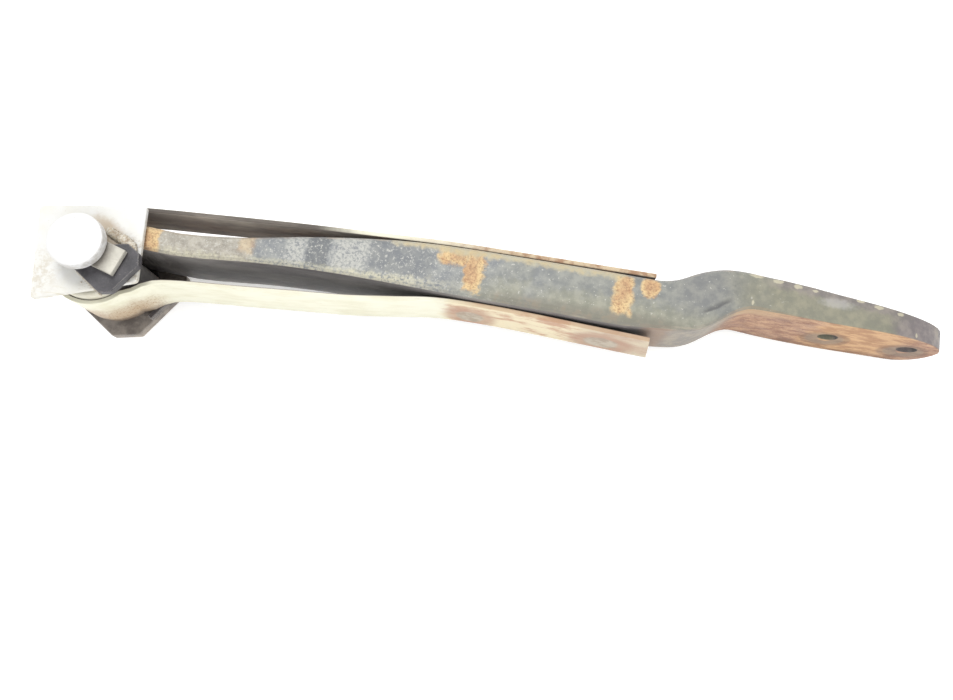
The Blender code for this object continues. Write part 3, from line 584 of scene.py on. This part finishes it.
def floor_material():
    s = Shade("floor_paper")
    colour = s.mix(s.noise(400.0, 3.0, 0.5), (0.86, 0.86, 0.86, 1.0), (0.88, 0.88, 0.88, 1.0))
    s.bsdf.inputs["Emission Color"].default_value = (1.0, 1.0, 1.0, 1.0)
    s.bsdf.inputs["Emission Strength"].default_value = 0.30
    return s.finish(colour, 0.9, s.times(s.noise(30.0, 2.0, 0.5), 0.2), 0.1)


def new_piece(name, bm, material, body):
    bmesh.ops.recalc_face_normals(bm, faces=bm.faces)
    mesh = bpy.data.meshes.new(name)
    bm.to_mesh(mesh)
    bm.free()
    for polygon in mesh.polygons:
        polygon.use_smooth = True
    mesh.materials.append(material)
    piece = bpy.data.objects.new(name, mesh)
    bpy.context.scene.collection.objects.link(piece)
    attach(piece, body)
    return piece


def add_bead(bm, path, radius, seed, sides=10, spacing=0.7):
    """A weld bead swept along path, rippled across its length and closed at both ends. mm in, m out."""
    rng = random.Random(seed)
    points = [Vector(point) for point in path]
    stations = []
    for first, second in zip(points, points[1:]):
        count = max(int((second - first).length / MM / spacing), 2)
        stations += [first.lerp(second, i / count) for i in range(count)]
    stations.append(points[-1])
    rings = []
    last = len(stations) - 1
    for i, centre in enumerate(stations):
        along = (stations[min(i + 1, last)] - stations[max(i - 1, 0)]).normalized()
        across = along.cross(Vector((0.0, 0.0, 1.0))).normalized()
        up = across.cross(along)
        taper = min(1.0, 0.25 + min(i, last - i) * spacing / (1.4 * radius))
        ripple = 1.0 + 0.10 * math.sin(i * spacing * 2.6) + rng.uniform(-0.05, 0.05)
        size = radius * taper * ripple * MM
        ring = []
        for k in range(sides):
            angle = 2.0 * math.pi * k / sides
            ring.append(bm.verts.new(centre + size * (math.cos(angle) * across + 0.8 * math.sin(angle) * up)))
        rings.append(ring)
    for here, following in zip(rings, rings[1:]):
        for k in range(sides):
            bm.faces.new((here[k], here[(k + 1) % sides], following[(k + 1) % sides], following[k]))
    bm.faces.new(rings[0])
    bm.faces.new(rings[-1])


def add_spatter(bm, centre, radius, seed):
    """A lump of weld spatter: a small ball pressed flat and dented."""
    rng = random.Random(seed)
    made = bmesh.ops.create_icosphere(bm, subdivisions=2, radius=radius * MM)
    for vert in made["verts"]:
        vert.co *= rng.uniform(0.85, 1.12)
        vert.co.z *= 0.7
        vert.co += centre


def make_camera():
    data = bpy.data.cameras.new("camera")
    data.sensor_width = 36.0
    data.lens = 30.90
    camera = bpy.data.objects.new("camera", data)
    bpy.context.scene.collection.objects.link(camera)
    camera.location = (0.02393, -0.22708, 0.923)
    camera.rotation_euler = Euler((math.radians(12.41), 0.0, math.radians(9.5)))
    bpy.context.scene.camera = camera


def make_light():
    world = bpy.data.worlds.new("studio")
    world.use_nodes = True
    world.node_tree.nodes["Background"].inputs[0].default_value = (1.0, 1.0, 1.0, 1.0)
    world.node_tree.nodes["Background"].inputs[1].default_value = 1.0
    bpy.context.scene.world = world
    for name, size, power, place in (("key_light", 0.7, 28.0, (-0.5, 0.9, 1.9)),
                                     ("fill_light", 1.8, 20.0, (0.4, -1.5, 1.6))):
        data = bpy.data.lights.new(name, "AREA")
        data.size = size
        data.energy = power
        light = bpy.data.objects.new(name, data)
        bpy.context.scene.collection.objects.link(light)
        light.location = place
        towards = Vector((0.0, 0.0, 0.05)) - Vector(place)
        light.rotation_euler = towards.to_track_quat("-Z", "Y").to_euler()
    bpy.context.scene.view_settings.view_transform = "Standard"


def make_floor():
    """The floor the object lies on: it touches the anchor plate and the tail's lower edge."""
    bm = bmesh.new()
    corners = []
    for side_x, side_y in ((-1, -1), (1, -1), (1, 1), (-1, 1)):
        x, y = FLOOR_HALF * side_x, FLOOR_HALF * side_y
        corners.append(bm.verts.new((x, y, FLOOR_SLOPE * (x - FLOOR_LOW_X) - FLOOR_DROP)))
    bm.faces.new(corners)
    mesh = bpy.data.meshes.new("floor")
    bm.to_mesh(mesh)
    bm.free()
    mesh.materials.append(floor_material())
    floor = bpy.data.objects.new("floor", mesh)
    bpy.context.scene.collection.objects.link(floor)


def square_corners(half, chamfer, turn, centre):
    """Corner points of a chamfered square, as the keeper plate's outline."""
    inner = half - chamfer
    corners = []
    for k in range(4):
        for a, b in ((half, -inner), (half, inner)):
            angle = math.radians(turn + 90.0 * k)
            corners.append((centre[0] + a * math.cos(angle) - b * math.sin(angle),
                            centre[1] + a * math.sin(angle) + b * math.cos(angle)))
    return corners


def make_welds(material):
    bm = bmesh.new()
    outline = square_corners(KEEPER_HALF, KEEPER_CHAMFER, KEEPER_TURN, KEEPER_CENTRE)
    for k, (start, end) in enumerate(((5, 6), (6, 7))):
        add_bead(bm, [at_pivot(*outline[i], CHEEK_TOP + 0.4 * MM) for i in (start, end)], 1.5, k)
    add_bead(bm, [at_pivot(x, y, CHEEK_TOP + 4.5 * MM) for x, y in BROAD_BEAD[:4]], 6.0, 5, sides=16)
    add_bead(bm, [at_pivot(x, y, CHEEK_TOP + 1.0 * MM) for x, y in BROAD_BEAD[2:]], 5.0, 6, sides=16)
    lean = math.radians(WEB_TURN)
    for k, height in enumerate((CHEEK_BOTTOM, ANCHOR_TOP)):
        path = []
        for along in WEB_SPAN:
            x = -WEB_FACE * math.cos(lean) + along * math.sin(lean)
            y = WEB_FACE * math.sin(lean) + along * math.cos(lean)
            path.append(at_pivot(x, y, height))
        add_bead(bm, path, 2.6, 10 + k)
    for k, (x, y, radius) in enumerate(SPATTER):
        add_spatter(bm, at_pivot(x, y, CHEEK_TOP + 0.3 * MM), radius, 30 + k)
    return new_piece("hanger_welds", bm, material, "hanger")


FINISHES = {
    "leaf": leaf_material, "wrapper": wrapper_material, "strap": strap_material, "hanger": hanger_material,
    "dark": dark_material, "bare": bare_material, "pin": pin_material, "rubber": rubber_material,
}
NODE_FINISH = {
    "main_leaf": "leaf", "top_wrapper_leaf": "wrapper", "bottom_strap_leaf": "strap",
    "upper_cheek_plate": "hanger", "hanger_web": "hanger", "lower_anchor_plate": "dark",
    "keeper_plate": "dark", "anchor_lug": "dark", "keeper_block": "bare", "pivot_pin": "pin",
    "pin_circlip": "bare",
    "eye_bush_shell": "bare", "eye_bush_sleeve": "bare", "eye_bush_rubber": "rubber",
    "lower_thrust_washer": "rubber", "upper_thrust_washer": "rubber",
}

make_camera()
make_light()
make_floor()
finishes = {key: make() for key, make in FINISHES.items()}
for name, node in frame["nodes"].items():
    node.data.materials.clear()
    node.data.materials.append(finishes[NODE_FINISH[name]])
make_welds(bead_material())
